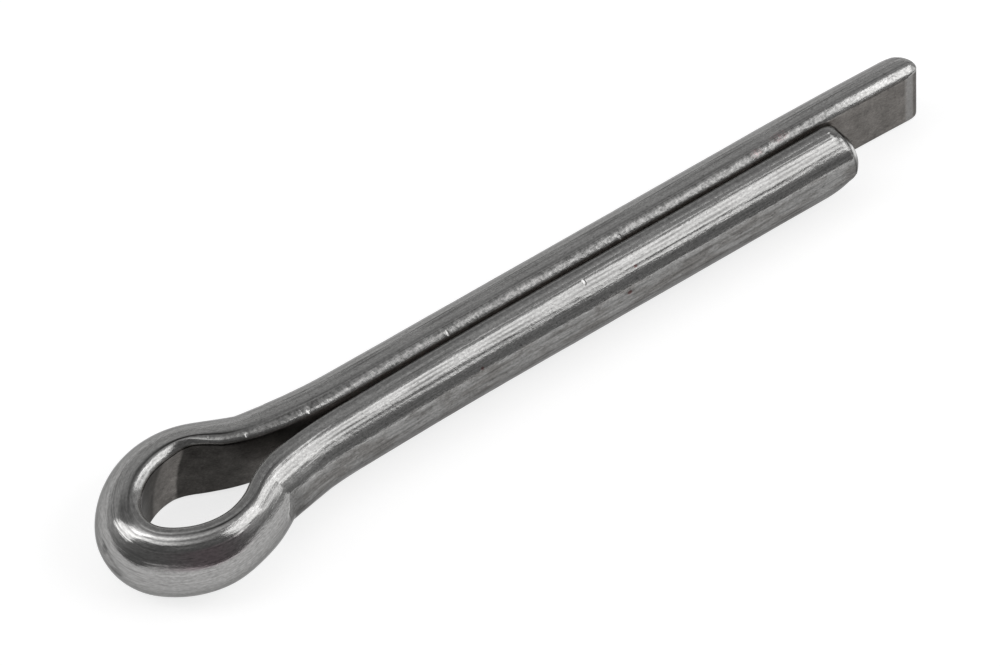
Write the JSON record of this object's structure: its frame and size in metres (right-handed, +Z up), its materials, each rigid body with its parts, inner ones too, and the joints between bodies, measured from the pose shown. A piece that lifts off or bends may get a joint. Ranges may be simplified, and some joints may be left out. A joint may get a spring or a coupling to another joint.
{
  "type": "cotter pin",
  "caption": "Split cotter pin of folded half-round steel wire, with a rounded eye and closed parallel prongs, one longer than the other.",
  "frame": {"origin": "on the shank's axis at the seat under the eye, where the pin stops in its hole", "axes": "+X along the shank towards the tips, +Y across the shank towards the long prong, +Z up and square to the plane of the bend, so the pin lies flat"},
  "size_m": [0.0377, 0.0067, 0.0036],
  "materials": {
    "steel": "plain drawn steel wire, satin grey with fine draw lines along the wire and a smoother, brighter eye"
  },
  "bodies": {
    "root": {"cotter_pin": "steel"}
  },
  "joints": []
}
